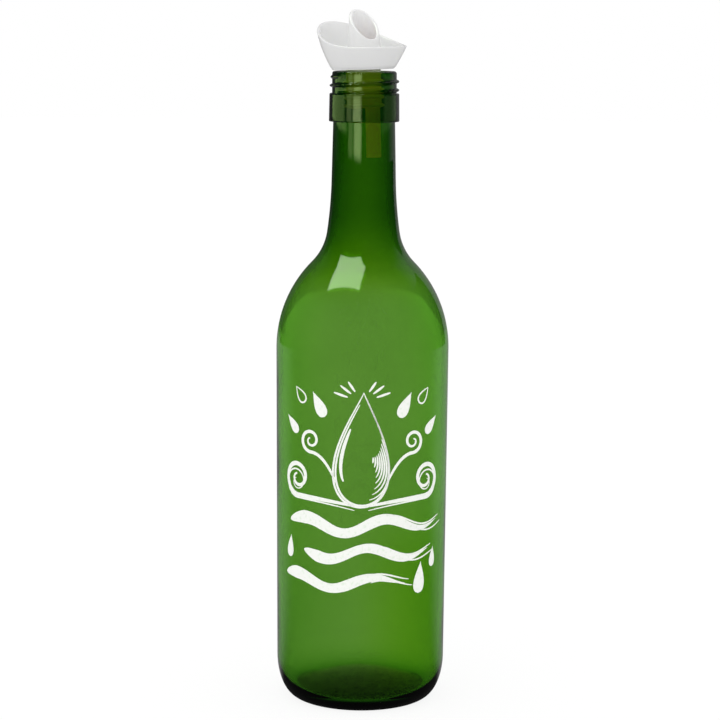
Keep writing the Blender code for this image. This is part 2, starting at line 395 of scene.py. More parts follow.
def plain_copy(name: str, source: Object) -> Object:
    """Turn an object with live modifiers into a plain one, and remove it.

    Args:
        name: the name of the plain object.
        source: the object with the modifiers.

    Returns:
        The plain object, at the origin.
    """
    bpy.context.view_layer.update()
    graph = bpy.context.evaluated_depsgraph_get()
    result = source.evaluated_get(graph)
    mesh = bpy.data.meshes.new_from_object(result, preserve_all_data_layers=True, depsgraph=graph)
    mesh.name = name
    bpy.data.objects.remove(source)
    return placed(name, mesh)


# Finishes


def start_material(name: str) -> tuple[Material, Tree, Node]:
    """Make a material and give its tree and its Principled shader."""
    material = bpy.data.materials.new(name)
    material.use_nodes = True
    tree = material.node_tree
    return material, tree, tree.nodes["Principled BSDF"]


def feed(tree: Tree, entry: Socket, value: Any) -> None:
    """Link a socket to an entry, or set the entry to a plain value."""
    if isinstance(value, Socket):
        tree.links.new(value, entry)
    else:
        entry.default_value = value


def object_noise(tree: Tree, scale: float, detail: float) -> Socket:
    """Add noise that lies still on the object."""
    place = tree.nodes.new("ShaderNodeTexCoord")
    noise = tree.nodes.new("ShaderNodeTexNoise")
    noise.inputs["Scale"].default_value = scale
    noise.inputs["Detail"].default_value = detail
    tree.links.new(place.outputs["Object"], noise.inputs["Vector"])
    return noise.outputs["Fac"]


def cloudy(tree: Tree, noise: Socket, low: Any, high: Any, ends: Pair = (0.0, 1.0)) -> Socket:
    """Let a colour or a grey level follow a noise.

    Args:
        tree: the tree to write in.
        noise: the noise.
        low: the colour or level at its low end.
        high: the same at its high end.
        ends: the noise's values at both ends.

    Returns:
        The colour.
    """
    ramp = tree.nodes.new("ShaderNodeValToRGB")
    for number, (level, place) in enumerate(zip((low, high), ends)):
        stop = ramp.color_ramp.elements[number]
        stop.color = level if isinstance(level, tuple) else (level, level, level, 1)
        stop.position = place
    tree.links.new(noise, ramp.inputs["Fac"])
    return ramp.outputs["Color"]


def add_bump(tree: Tree, shader: Node, noise: Socket, depth: float, strength: float) -> None:
    """Let a noise raise the surface by a depth in metres."""
    bump = tree.nodes.new("ShaderNodeBump")
    bump.inputs["Strength"].default_value = strength
    bump.inputs["Distance"].default_value = depth
    tree.links.new(noise, bump.inputs["Height"])
    tree.links.new(bump.outputs["Normal"], shader.inputs["Normal"])


def maths(tree: Tree, operation: str, *values: Any) -> Socket:
    """Work out one step of arithmetic in a material."""
    node = tree.nodes.new("ShaderNodeMath")
    node.operation = operation
    for entry, value in zip(node.inputs, values):
        feed(tree, entry, value)
    return node.outputs[0]


def mirrored(tree: Tree) -> Socket:
    """Tell whether light last bounced off gloss, and did not just pass through glass."""
    path = tree.nodes.new("ShaderNodeLightPath")
    return maths(tree, "MULTIPLY", path.outputs["Is Glossy Ray"], path.outputs["Is Reflection Ray"])


def distance(tree: Tree, x: Socket, y: Socket) -> Socket:
    """Work out how far a place lies from the middle."""
    squares = [maths(tree, "MULTIPLY", part, part) for part in (x, y)]
    return maths(tree, "SQRT", maths(tree, "ADD", *squares))


def ramp_level(tree: Tree, value: Socket, levels: Levels) -> Socket:
    """Let a level change softly with a value.

    Args:
        tree: the tree to write in.
        value: what the level depends on.
        levels: the values where the change starts and ends, and the levels there.

    Returns:
        The level.
    """
    node = tree.nodes.new("ShaderNodeMapRange")
    node.interpolation_type = "SMOOTHSTEP"
    tree.links.new(value, node.inputs["Value"])
    for key, number in zip(("From Min", "From Max", "To Min", "To Max"), levels):
        node.inputs[key].default_value = number
    return node.outputs["Result"]


def choose(tree: Tree, switch: Any, off: Any, on: Any) -> Socket:
    """Mix two levels by a switch and give the result."""
    node = tree.nodes.new("ShaderNodeMix")
    for key, value in ((0, switch), (2, off), (3, on)):
        feed(tree, node.inputs[key], value)
    return node.outputs[0]


def tinted(tree: Tree, switch: Any, off: Any, on: Any) -> Socket:
    """Mix two colours by a switch and give the result."""
    node = tree.nodes.new("ShaderNodeMix")
    node.data_type = "RGBA"
    for key, value in ((0, switch), (6, off), (7, on)):
        feed(tree, node.inputs[key], value)
    return node.outputs[2]


def split_place(tree: Tree, place: Socket) -> list[Socket]:
    """Give the three parts of a place."""
    parts = tree.nodes.new("ShaderNodeSeparateXYZ")
    tree.links.new(place, parts.inputs[0])
    return list(parts.outputs)


def object_place(tree: Tree) -> list[Socket]:
    """Give X, Y and Z on the object."""
    return split_place(tree, tree.nodes.new("ShaderNodeTexCoord").outputs["Object"])


def behind(tree: Tree, place: Socket, levels: Levels, left: float) -> Socket:
    """Give the level that gloss sees: grey behind the bottle, nearly black in front and beside.

    Args:
        tree: the tree to write in.
        place: a place or a direction, seen from the middle of the floor.
        levels: how far back the grey starts and is full, and the levels there.
        left: what share of it is left on the left.

    Returns:
        The level.
    """
    way = tree.nodes.new("ShaderNodeVectorMath")
    way.operation = "NORMALIZE"
    tree.links.new(place, way.inputs[0])
    across, back, _ = split_place(tree, way.outputs[0])
    sideways = ramp_level(tree, across, (-GLOSS_TURN, GLOSS_TURN, left, 1.0))
    return maths(tree, "MULTIPLY", ramp_level(tree, back, levels), sideways)


@dataclass(frozen=True)
class GreenGlass:
    """Clear green bottle glass, whose colour comes from how far light travels in it, with painted shade: a
    deeper green tint low on the right and on the neck.
    """

    bend: float = 1.52
    density: float = 884.0
    tint: Colour = (0.339, 0.615, 0.002, 1.0)
    # Painted shade: a deeper green tint low on the right and one on the neck, then the heights and sides
    # where each fades in
    shade_tint_low_right: Colour = (0.93, 1.0, 0.5, 1.0)
    shade_tint_neck: Colour = (1.0, 1.0, 0.32, 1.0)
    low: Levels = (50 * MM, 95 * MM, 1.0, 0.0)
    right: Levels = (-8 * MM, 26 * MM, 0.0, 1.0)
    neck: Levels = (176 * MM, 200 * MM, 0.0, 1.0)
    gloss: Pair = (0.0, 0.02)
    cloud: Pair = (60.0, 2.0)
    ripple: float = 0.02 * MM
    ripple_noise: Pair = (90.0, 1.0)

    def make(self) -> Material:
        """Build the material."""
        material, tree, shader = start_material("green_glass")
        x, _, z = object_place(tree)
        # Painted shade: deeper green low on the right and on the neck
        low_right = maths(tree, "MULTIPLY", ramp_level(tree, z, self.low), ramp_level(tree, x, self.right))
        colour = tinted(tree, low_right, WHITE, self.shade_tint_low_right)
        colour = tinted(tree, ramp_level(tree, z, self.neck), colour, self.shade_tint_neck)
        feed(tree, shader.inputs["Base Color"], colour)
        shader.inputs["Transmission Weight"].default_value = 1.0
        shader.inputs["IOR"].default_value = self.bend
        rough = cloudy(tree, object_noise(tree, *self.cloud), *self.gloss)
        feed(tree, shader.inputs["Roughness"], rough)
        add_bump(tree, shader, object_noise(tree, *self.ripple_noise), self.ripple, 1.0)
        depth = tree.nodes.new("ShaderNodeVolumeAbsorption")
        depth.inputs["Color"].default_value = self.tint
        depth.inputs["Density"].default_value = self.density
        feed(tree, tree.nodes["Material Output"].inputs["Volume"], depth.outputs["Volume"])
        return material


@dataclass(frozen=True)
class WhitePlastic:
    """White moulded plastic with a soft gloss, olive where it is seen through the glass. Below the lip it has
    a warm tint and a painted glow, and inside the nozzle a faint painted glow, which stand in for light
    reaching it through the glass and the thin nozzle wall.
    """

    colour: Colour = (0.81, 0.81, 0.81, 1.0)
    shade: Colour = (0.775, 0.775, 0.772, 1.0)
    shade_ends: Pair = (0.3, 0.65)
    cloud: Pair = (45.0, 3.0)
    # Painted light below the lip: a warm tint on colour and glow, and a glow that is stronger towards the
    # lip, for light reaching the plug through the glass
    below: Colour = (0.8, 0.45, 0.34, 1.0)
    painted_glow: float = 0.6
    painted_glow_low: float = 0.6
    painted_glow_depth: float = 30 * MM
    # A faint painted glow inside the nozzle, for light through its thin wall, and where it fades
    painted_nozzle_glow: float = 0.03
    nozzle_centre: float = -0.5 * MM
    nozzle_radius: float = 5.9 * MM
    nozzle_fade: float = 0.4 * MM
    lip_height: float = 278.4 * MM
    lip_fade: float = 0.5 * MM
    gloss: Pair = (0.2, 0.32)
    bend: float = 1.5
    scatter: float = 0.15
    scatter_reach: float = 0.8 * MM
    scatter_colours: Triple = (1.0, 1.0, 0.9)
    grain: float = 0.01 * MM
    grain_noise: Pair = (900.0, 2.0)

    def make(self) -> Material:
        """Build the material."""
        material, tree, shader = start_material("white_plastic")
        cloud = object_noise(tree, *self.cloud)
        white = cloudy(tree, cloud, self.shade, self.colour, self.shade_ends)
        x, y, z = object_place(tree)
        lip = self.lip_height
        # Below the lip: painted light, a warm tint on the colour and on the glow
        inside = ramp_level(tree, z, (lip - self.lip_fade, lip, 1.0, 0.0))
        feed(tree, shader.inputs["Base Color"], tinted(tree, inside, white, self.below))
        feed(tree, shader.inputs["Emission Color"], tinted(tree, inside, WHITE, self.below))
        # A painted glow below the lip, stronger towards the lip
        painted_glow = ramp_level(tree, z, (lip - self.painted_glow_depth, lip, self.painted_glow_low, 1.0))
        painted_glow = maths(tree, "MULTIPLY", painted_glow, self.painted_glow)
        # A faint painted glow inside the nozzle
        reach = distance(tree, maths(tree, "SUBTRACT", x, self.nozzle_centre), y)
        edge = self.nozzle_radius
        wall = ramp_level(tree, reach, (edge - self.nozzle_fade, edge, self.painted_nozzle_glow, 0.0))
        feed(tree, shader.inputs["Emission Strength"], choose(tree, inside, wall, painted_glow))
        feed(tree, shader.inputs["Roughness"], cloudy(tree, cloud, *self.gloss))
        shader.inputs["IOR"].default_value = self.bend
        shader.inputs["Subsurface Weight"].default_value = self.scatter
        shader.inputs["Subsurface Radius"].default_value = self.scatter_colours
        shader.inputs["Subsurface Scale"].default_value = self.scatter_reach
        add_bump(tree, shader, object_noise(tree, *self.grain_noise), self.grain, 0.5)
        return material


@dataclass(frozen=True)
class WhiteInk:
    """White screen-printing ink, a little uneven in cover and gloss."""

    full: Colour = (0.96, 0.98, 0.93, 1.0)
    thin: Colour = (0.84, 0.92, 0.8, 1.0)
    thin_ends: Pair = (0.32, 0.46)
    cover: Pair = (700.0, 3.0)
    gloss: Pair = (0.35, 0.55)
    relief: float = 0.01 * MM

    def make(self) -> Material:
        """Build the material."""
        material, tree, shader = start_material("white_ink")
        cover = object_noise(tree, *self.cover)
        feed(tree, shader.inputs["Base Color"], cloudy(tree, cover, self.thin, self.full, self.thin_ends))
        feed(tree, shader.inputs["Roughness"], cloudy(tree, cover, *self.gloss))
        add_bump(tree, shader, cover, self.relief, 0.4)
        return material


@dataclass(frozen=True)
class PaleFloor:
    """A white studio table, with dark cards where gloss would show them and bright ones behind the glass,
    painted brighter to the sides and with a painted shadow under the bottle where the glass shows it.
    """

    colour: float = 0.12
    uneven: float = 0.98
    cloud: Pair = (3.0, 2.0)
    roughness: float = 0.9
    glow: float = 0.88
    glow_in_shade: float = 0.82
    glow_into_glass: float = 1.6
    seen_white: float = 1.02
    # Painted light and shade on the table seen through the glass: brighter to the sides, a painted shadow
    # under the bottle, darker beyond the foot
    beside: Levels = (0.0, 0.15, 1.0, 1.9)
    backward: Levels = (0.3, 0.7, 0.0, 1.0)
    bright_until: Levels = (2.1, 2.6, 1.0, 0.0)
    painted_shadow_under_bottle: Levels = (28.5 * MM, 32 * MM, 0.03, 1.0)
    foot_crossings: float = 4.5
    painted_shade_past_foot: float = 0.2
    left_near: float = 0.9
    left_far: float = 0.15
    far: Levels = (1.2, 2.2, 0.0, 1.0)

    def seen_through_glass(self, tree: Tree) -> Socket:
        """Give the level that shows through the glass: painted light, brighter to the sides, and painted
        shadow, dark under the bottle and beyond the foot.
        """
        x, y, _ = object_place(tree)
        reach = distance(tree, x, y)
        depth = maths(tree, "ADD", maths(tree, "ABSOLUTE", y), 1.0)
        aside = maths(tree, "DIVIDE", maths(tree, "ABSOLUTE", x), depth)
        back = ramp_level(tree, maths(tree, "DIVIDE", y, reach), self.backward)
        near = maths(tree, "MULTIPLY", back, ramp_level(tree, y, self.bright_until))
        # Painted light: brighter to the sides
        bright = choose(tree, near, 1.0, ramp_level(tree, aside, self.beside))
        # Painted shadow under the bottle
        level = maths(tree, "MULTIPLY", bright, ramp_level(tree, reach, self.painted_shadow_under_bottle))
        path = tree.nodes.new("ShaderNodeLightPath")
        # Painted shade: darker where the ray has crossed the foot
        crossed = maths(tree, "GREATER_THAN", path.outputs["Transmission Depth"], self.foot_crossings)
        level = maths(tree, "MULTIPLY", level, choose(tree, crossed, 1.0, self.painted_shade_past_foot))
        return maths(tree, "MULTIPLY", level, self.seen_white)

    def seen_in_gloss(self, tree: Tree) -> Socket:
        """Give the level that gloss shows: grey behind the bottle, and darker far back on the left."""
        place = tree.nodes.new("ShaderNodeTexCoord").outputs["Object"]
        near = behind(tree, place, GLOSS_ON_TABLE, self.left_near)
        far = behind(tree, place, GLOSS_ABOVE, self.left_far)
        return choose(tree, ramp_level(tree, object_place(tree)[1], self.far), near, far)

    def make(self) -> Material:
        """Build the material."""
        material, tree, shader = start_material("pale_floor")
        pale = cloudy(tree, object_noise(tree, *self.cloud), self.colour * self.uneven, self.colour)
        feed(tree, shader.inputs["Base Color"], pale)
        shader.inputs["Roughness"].default_value = self.roughness
        shader.inputs["Specular IOR Level"].default_value = 0.0
        shader.inputs["Emission Color"].default_value = WHITE
        shader.inputs["Emission Strength"].default_value = self.glow
        path = tree.nodes.new("ShaderNodeLightPath")
        lighting = maths(tree, "GREATER_THAN", path.outputs["Diffuse Depth"], 0.5)
        through = choose(tree, lighting, self.seen_through_glass(tree), self.glow_into_glass)
        surface = shader.outputs["BSDF"]
        switches = (
            (path.outputs["Is Transmission Ray"], through),
            (path.outputs["Is Diffuse Ray"], self.glow_in_shade),
            (mirrored(tree), self.seen_in_gloss(tree)),
        )
        for switch, level in switches:
            other = tree.nodes.new("ShaderNodeEmission")
            feed(tree, other.inputs["Strength"], level)
            mix = tree.nodes.new("ShaderNodeMixShader")
            for key, source in enumerate((switch, surface, other.outputs["Emission"])):
                tree.links.new(source, mix.inputs[key])
            surface = mix.outputs["Shader"]
        feed(tree, tree.nodes["Material Output"].inputs["Surface"], surface)
        return material


# The glass


@dataclass
class GlassBottle:
    """The glass: a turned body with its screw thread, all one closed shell."""

    foot_radius: float = 28.25 * MM
    foot_flat: float = 2.0 * MM
    push_up: float = 6.0 * MM
    heel_radius: float = 37.3 * MM
    heel_height: float = 18.7 * MM
    body_top: float = 157.0 * MM
    body_lean: float = math.radians(-0.29)
    shoulder_arc: float = 54.0 * MM
    shoulder_lean: float = math.radians(44.5)
    cove_arc: float = 23.85 * MM
    cove_lean: float = math.radians(8.13)
    neck_arc: float = 188.5 * MM
    neck_lean: float = math.radians(1.285)
    collar_bottom: float = 256.5 * MM
    collar_top: float = 268.7 * MM
    collar_foot_radius: float = 15.35 * MM
    collar_top_radius: float = 15.18 * MM
    collar_edge: float = 0.45 * MM
    lip_height: float = 278.3 * MM
    mouth_radius: float = 14.05 * MM
    lip_edge: float = 1.2 * MM
    bore_edge: float = 0.7 * MM
    bore_radius: float = 9.6 * MM
    bore_length: float = 5.0 * MM
    neck_bore: float = 9.85 * MM
    body_wall: float = 2.0 * MM
    neck_wall: float = 3.7 * MM
    wall_change: Pair = (184.0 * MM, 221.0 * MM)
    wall_step: float = 5.0 * MM
    collar_step: float = 3.0 * MM
    shoulder_steps: int = 34
    cove_steps: int = 20
    neck_steps: int = 10
    inner_heel: float = 14.2 * MM
    inner_floor_radius: float = 28.25 * MM
    inner_floor_low: float = 4.5 * MM
    inner_floor_centre: float = 10.5 * MM
    thread_pitch: float = 3.7 * MM
    thread_turns: float = 2.04
    thread_start: float = math.radians(-60.0)
    thread_start_height: float = 268.63 * MM
    thread_relief: float = 1.05 * MM
    thread_half_width: float = 0.95 * MM
    thread_half_crest: float = 0.2 * MM
    thread_fade: float = 75.0 / 360.0
    stipples: int = 56
    stipple_depth: float = 0.35 * MM
    uneven: float = 0.22 * MM
    uneven_noise: Pair = (26.0, 1.0)
    uneven_from: Pair = (12.0 * MM, 30.0 * MM)
    uneven_until: Pair = (240.0 * MM, 256.0 * MM)
    sides: int = 224

    def side_wall(self) -> list[Triple]:
        """Give (radius, height, lean) of the outside from the top of the heel to the collar."""
        rise = self.body_top - self.heel_height
        top = self.heel_radius - rise * math.tan(self.body_lean)
        wall = [(self.heel_radius, self.heel_height, self.body_lean)]
        wall += straight(wall[0], (top, self.body_top, self.body_lean), self.wall_step)
        for end_lean, arc, steps in (
            (self.shoulder_lean, self.shoulder_arc, self.shoulder_steps),
            (self.cove_lean, self.cove_arc, self.cove_steps),
            (self.neck_lean, self.neck_arc, self.neck_steps),
        ):
            wall += wall_arc(wall[-1], wall[-1][2], end_lean, arc, steps)
        radius, height, lean = wall[-1]
        last = (radius - (self.collar_bottom - height) * math.tan(lean), self.collar_bottom, lean)
        return wall + straight(wall[-1], last, self.collar_step)

    def dome(self, edge: float, low: float, centre: float, steps: int) -> list[Pair]:
        """Give a shallow dome from its centre out to its edge, which it leaves out."""
        shares = [step / steps for step in range(steps)]
        return [(edge * share, low + (centre - low) * (1 - share**2)) for share in shares]

    def outside(self) -> list[Pair]:
        """Give (radius, height) of the outside, from the middle of the push-up to the lip."""
        flat_inside = self.foot_radius - self.foot_flat
        outline = self.dome(flat_inside, 0.0, self.push_up, 16) + [(flat_inside, 0.0)]
        outline += straight(outline[-1], (self.foot_radius, 0.0), 0.5 * MM)
        outline += quarter_round(
            (self.foot_radius, self.heel_height),
            (self.foot_radius, 0.0),
            (self.heel_radius, self.heel_height),
            24,
        )
        outline += [(radius, height) for radius, height, _ in self.side_wall()[1:]]
        edge = self.collar_edge
        foot, top = self.collar_foot_radius, self.collar_top_radius
        outline += straight(outline[-1], (foot - edge, self.collar_bottom), 1 * MM)
        low = self.collar_bottom + edge
        outline += quarter_round((foot - edge, low), outline[-1], (foot, low), 4)
        outline += straight(outline[-1], (top, self.collar_top - edge), self.collar_step)
        high = self.collar_top - edge
        outline += quarter_round((top - edge, high), outline[-1], (top - edge, self.collar_top), 4)
        outline += straight(outline[-1], (self.mouth_radius, self.collar_top), 1 * MM)
        outline += straight(outline[-1], (self.mouth_radius, self.lip_height - self.lip_edge), 0.14 * MM)
        inwards, below = self.mouth_radius - self.lip_edge, self.lip_height - self.lip_edge
        return outline + quarter_round((inwards, below), outline[-1], (inwards, self.lip_height), 8)

    def thickness(self, height: float) -> float:
        """Give the wall's thickness at a height, square to the glass."""
        return self.body_wall + (self.neck_wall - self.body_wall) * smooth_step(*self.wall_change, height)

    def inside(self) -> list[Pair]:
        """Give (radius, height) of the inside, from the lip down to the middle of the floor."""
        outwards, below = self.bore_radius + self.bore_edge, self.lip_height - self.bore_edge
        outline = [(outwards, self.lip_height)]
        outline += quarter_round((outwards, below), outline[0], (self.bore_radius, below), 5)
        outline.append((self.bore_radius, self.lip_height - self.bore_length))
        outline += straight(outline[-1], (self.neck_bore, self.collar_top - self.collar_edge), 2 * MM)
        for radius, height, lean in reversed(self.side_wall()[1:]):
            wall = self.thickness(height)
            outline.append((radius - wall * math.cos(lean), height - wall * math.sin(lean)))
        floor, low = self.inner_floor_radius, self.inner_floor_low
        top = (self.heel_radius - self.body_wall, self.inner_heel + low)
        outline += [top] + quarter_round((floor, top[1]), top, (floor, low), 20)
        return outline + self.dome(floor, low, self.inner_floor_centre, 14)[::-1]

    def shell(self) -> Mesh:
        """Turn the outline, and mark on each point whether it is inside."""
        outside, inside = self.outside(), self.inside()
        mesh = revolve("bottle_glass", outside + inside, self.sides)
        marks = np.zeros(len(mesh.vertices), np.float32)
        marks[(len(outside) - 1) * self.sides : (len(outside) + len(inside) - 2) * self.sides] = 1.0
        mesh.attributes.new("inside", "FLOAT", "POINT").data.foreach_set("value", marks)
        return mesh

    def relief(self, material: Material) -> NodeSheet:
        """Write the tree that raises the thread and the stipples and makes the inner wall uneven.

        Args:
            material: the glass.

        Returns:
            The tree.
        """
        sheet = NodeSheet("GlassRelief")
        x, y, z = sheet.place()
        radius = sheet.calc("SQRT", x * x + y * y)
        turn = sheet.calc("ARCTAN2", x, 0.0 - y)
        ridge = self.thread_ridge(sheet, radius, turn, z)
        wave = sheet.noise(*self.uneven_noise).outputs["Fac"]
        settled = sheet.rise(*self.uneven_from, z) * (1.0 - sheet.rise(*self.uneven_until, z))
        swell = sheet.size("Uneven wall", self.uneven) * (Reading(sheet, wave) - 0.5) * 2.0
        swell = swell * sheet.attribute("inside") * settled
        out = (ridge + swell) / sheet.calc("MAXIMUM", radius, 1.0 * MM)
        count = sheet.size("Stipples", float(self.stipples))
        inner, outer, edge = self.foot_radius - self.foot_flat, self.foot_radius, self.foot_flat * 0.3
        flat = sheet.rise(inner, inner + edge, radius) * (1.0 - sheet.rise(outer - edge, outer, radius))
        comb = 1.0 - sheet.calc("COSINE", turn * count)
        groove = sheet.size("Stipple depth", self.stipple_depth) * comb * 0.5
        groove = groove * flat * sheet.calc("LESS_THAN", z, 0.01 * MM)
        moved = sheet.add(
            "GeometryNodeSetPosition",
            {"Geometry": sheet.entry.outputs[0], "Offset": sheet.vector(x * out, y * out, groove)},
        )
        sheet.end(moved.outputs[0], material)
        return sheet

    def thread_ridge(self, sheet: NodeSheet, radius: Reading, turn: Reading, z: Reading) -> Reading:
        """Work out how far the thread stands out at each point of the mouth.

        Args:
            sheet: the tree to write in.
            radius: how far each point is from the axis.
            turn: its angle from the front.
            z: its height.

        Returns:
            The height of the ridge over the mouth.
        """
        pitch = sheet.size("Thread pitch", self.thread_pitch)
        turns = sheet.size("Thread turns", self.thread_turns)
        start = sheet.size("Thread start height", self.thread_start_height)
        first = sheet.calc("FRACT", (turn - sheet.size("Thread start angle", self.thread_start)) / math.tau)
        wound = first + sheet.calc("ROUND", (z - start) / pitch - first)
        away = sheet.calc("ABSOLUTE", z - start - pitch * wound)
        crest = sheet.size("Half crest", self.thread_half_crest)
        shape = 1.0 - sheet.rise(crest, sheet.size("Half width", self.thread_half_width), away)
        fade = sheet.rise(0.0, self.thread_fade, turns - wound)
        fade = fade * sheet.rise(0.0, self.thread_fade / 2, wound)
        on_mouth = sheet.rise(self.mouth_radius - 0.1 * MM, self.mouth_radius - 0.02 * MM, radius)
        on_mouth = on_mouth * sheet.rise(self.collar_top, self.collar_top + 0.5 * MM, z)
        return sheet.size("Thread relief", self.thread_relief) * shape * fade * on_mouth

    def build(self, material: Material) -> Object:
        """Make the glass."""
        piece = self.relief(material).run("bottle_glass", self.shell())
        return finished(piece, "glass", "bottle")


# The pourer


@dataclass
class Pourer:
    """The white moulding in the mouth: plug, cup and oblique nozzle, with a vent tube below."""

    lip_height: float = 278.3 * MM
    tilt: float = math.radians(1.9)
    lip_gap: float = 0.3 * MM
    cup_base_radius: float = 13.65 * MM
    cup_base_edge: float = 0.5 * MM
    cup_flare: float = 0.423
    cup_flare_to_right: float = 0.07
    cup_bulge: float = 0.8 * MM
    cup_bulge_height: float = 18.0 * MM
    cup_wall: float = 1.2 * MM
    cup_floor: float = 2.2 * MM
    cup_first_share: float = 0.09
    cup_last_share: float = 0.22
    rim_low: float = 10.4 * MM
    rim_rise: float = 11.2 * MM
    rim_peak: float = math.radians(220.0)
    rim_sharpness: float = 2.55
    rim_slant: float = 0.17 * MM
    nozzle_offset: float = 0.63 * MM
    nozzle_base_radius: float = 7.65 * MM
    nozzle_taper: float = 0.062
    nozzle_wall: float = 1.3 * MM
    nozzle_low: float = 13.6 * MM
    nozzle_rise: float = 13.0 * MM
    nozzle_peak: float = math.radians(214.0)
    nozzle_bow: float = 0.85 * MM
    nozzle_fillet: float = 0.8 * MM
    plug_radius: float = 7.6 * MM
    plug_depth: float = 15.8 * MM
    fin_radius: float = 8.9 * MM
    fin_count: int = 4
    fin_pitch: float = 3.45 * MM
    fin_first_depth: float = 4.4 * MM
    fin_thickness: float = 1.6 * MM
    fin_root: float = 0.2 * MM
    vent_offset: float = 3.7 * MM
    vent_radius: float = 3.25 * MM
    vent_bore: float = 2.2 * MM
    vent_depth: float = 37.4 * MM
    channel_offset: float = -2.7 * MM
    channel_radius: float = 2.75 * MM
    channel_stretch: float = 1.56
    past_face: float = 2.0 * MM
    sides: int = 144
    tube_sides: int = 48
    turn: np.ndarray = field(init=False)

    def __post_init__(self) -> None:
        """Work out the angles of each ring's points, from the front towards the right."""
        self.turn = np.arange(self.sides) * math.tau / self.sides

    def seat(self) -> float:
        """Give the height of the cup's underside, so that its low side keeps clear of the lip."""
        return self.lip_gap + self.cup_base_radius * math.sin(self.tilt)

    def place_ring(self, radius: Level, height: Level, centre: float = 0.0) -> np.ndarray:
        """Place a ring's points.

        Args:
            radius: their distance from the ring's middle.
            height: their height.
            centre: how far the ring's middle lies to the right of the axis.

        Returns:
            One row of three numbers for each point.
        """
        around = centre + radius * np.sin(self.turn)
        level = np.broadcast_to(height, self.turn.shape)
        return np.stack([around, -radius * np.cos(self.turn), level], axis=1)

    def cup_radius(self, height: np.ndarray) -> np.ndarray:
        """Give the outer radius of the flared and slightly bulging cup."""
        flare = self.cup_flare + self.cup_flare_to_right * np.sin(self.turn)
        risen = height - self.seat()
        bulge = self.cup_bulge * np.sin(math.pi * np.clip(risen / self.cup_bulge_height, 0, 1))
        return self.cup_base_radius + flare * risen + bulge

    def rim_height(self) -> np.ndarray:
        """Give the rim's height: low in front and on the right, a shell at the back on the left."""
        share = (1 + np.cos(self.turn - self.rim_peak)) / 2
        return self.rim_low + self.rim_rise * share**self.rim_sharpness - self.rim_slant * np.sin(self.turn)

    def nozzle_height(self) -> np.ndarray:
        """Give the height of the nozzle's oblique, slightly bowed mouth."""
        share = (1 + np.cos(self.turn - self.nozzle_peak)) / 2
        return self.nozzle_low + self.nozzle_rise * share + self.nozzle_bow * 4 * share * (1 - share)

    def cup_ring(self, inwards: float, below: float, share: float = 1.0) -> np.ndarray:
        """Give a ring that follows the rim, or lies at a share of its height."""
        height = self.seat() + (self.rim_height() - below - self.seat()) * share
        return self.place_ring(self.cup_radius(height) - inwards, height)

    def nozzle_ring(self, inwards: float, below: float, low: float, share: float = 1.0) -> np.ndarray:
        """Give a ring that follows the nozzle's mouth, or lies at a share of its height above a level."""
        height = low + (self.nozzle_height() - below - low) * share
        radius = self.nozzle_base_radius - self.nozzle_taper * height - inwards
        return self.place_ring(radius, height, self.nozzle_offset)

    def rounded(self, wall: float, steps: int) -> list[Pair]:
        """Give (inwards, below) round the top of a wall, from its outer to its inner face."""
        half = wall / 2
        turns = [math.pi * step / steps for step in range(steps + 1)]
        return [(half - half * math.cos(turn), half * 0.8 * (1 - math.sin(turn))) for turn in turns]

    def moulding(self) -> Mesh:
        """Skin the plug, cup and nozzle as one closed surface."""
        edge, base, seat, level = self.cup_base_edge, self.cup_base_radius, self.seat(), self.cup_floor
        rings = [
            self.place_ring(self.plug_radius - edge, -self.plug_depth),
            self.place_ring(self.plug_radius, -self.plug_depth + edge),
            self.place_ring(self.plug_radius, seat),
        ]
        for step in range(5):
            turn = math.pi / 2 * step / 4
            inwards, up = edge * (1 - math.sin(turn)), edge * (1 - math.cos(turn))
            rings.append(self.place_ring(base - inwards, seat + up))
        top = self.cup_wall * 0.4
        first, last = self.cup_first_share, self.cup_last_share
        rings += [self.cup_ring(0.0, top, first + (1 - first) * k / 10) for k in range(10)]
        rings += [self.cup_ring(inwards, below) for inwards, below in self.rounded(self.cup_wall, 8)]
        rings += [self.cup_ring(self.cup_wall, top, 1 - (1 - last) * k / 9) for k in range(1, 10)]
        floor = base + self.cup_flare * (level - seat) - self.cup_wall
        rings.append(self.place_ring(floor - 0.5 * MM, level + 0.25 * MM))
        rings.append(self.place_ring(floor - 1.3 * MM, level))
        foot, nozzle = self.nozzle_fillet, self.nozzle_base_radius
        rings.append(self.place_ring(nozzle + foot, level, self.nozzle_offset))
        rings.append(self.place_ring(nozzle + foot * 0.25, level + foot * 0.3, self.nozzle_offset))
        low = level + foot
        top = self.nozzle_wall * 0.4
        rings += [self.nozzle_ring(0.0, top, low, k / 9) for k in range(10)]
        lip = self.rounded(self.nozzle_wall, 8)
        rings += [self.nozzle_ring(inwards, below, low) for inwards, below in lip]
        rings += [self.nozzle_ring(self.nozzle_wall, top, low, 1 - k / 9) for k in range(1, 10)]
        rings.append(self.place_ring(nozzle - self.nozzle_wall - 0.3 * MM, level, self.nozzle_offset))
        return skin("pourer", rings, (0, 0, -self.plug_depth), (self.nozzle_offset, 0, level))

    def rod(self, name: str, centre: float, radius: float, ends: Pair, stretch: float = 1.0) -> Object:
        """Make an upright rod as a helper for a Boolean.

        Args:
            name: the helper's name.
            centre: how far it stands to the right of the axis.
            radius: half its width.
            ends: the heights of its ends.
            stretch: how many times as deep as it is wide it is.

        Returns:
            The helper.
        """
        turn = (np.arange(self.tube_sides) + 0.5) * math.tau / self.tube_sides
        around = centre + radius * np.sin(turn)
        rings = [
            np.stack([around, -radius * stretch * np.cos(turn), np.full(self.tube_sides, height)], axis=1)
            for height in ends
        ]
        return placed(name, skin(name, rings, None, None))

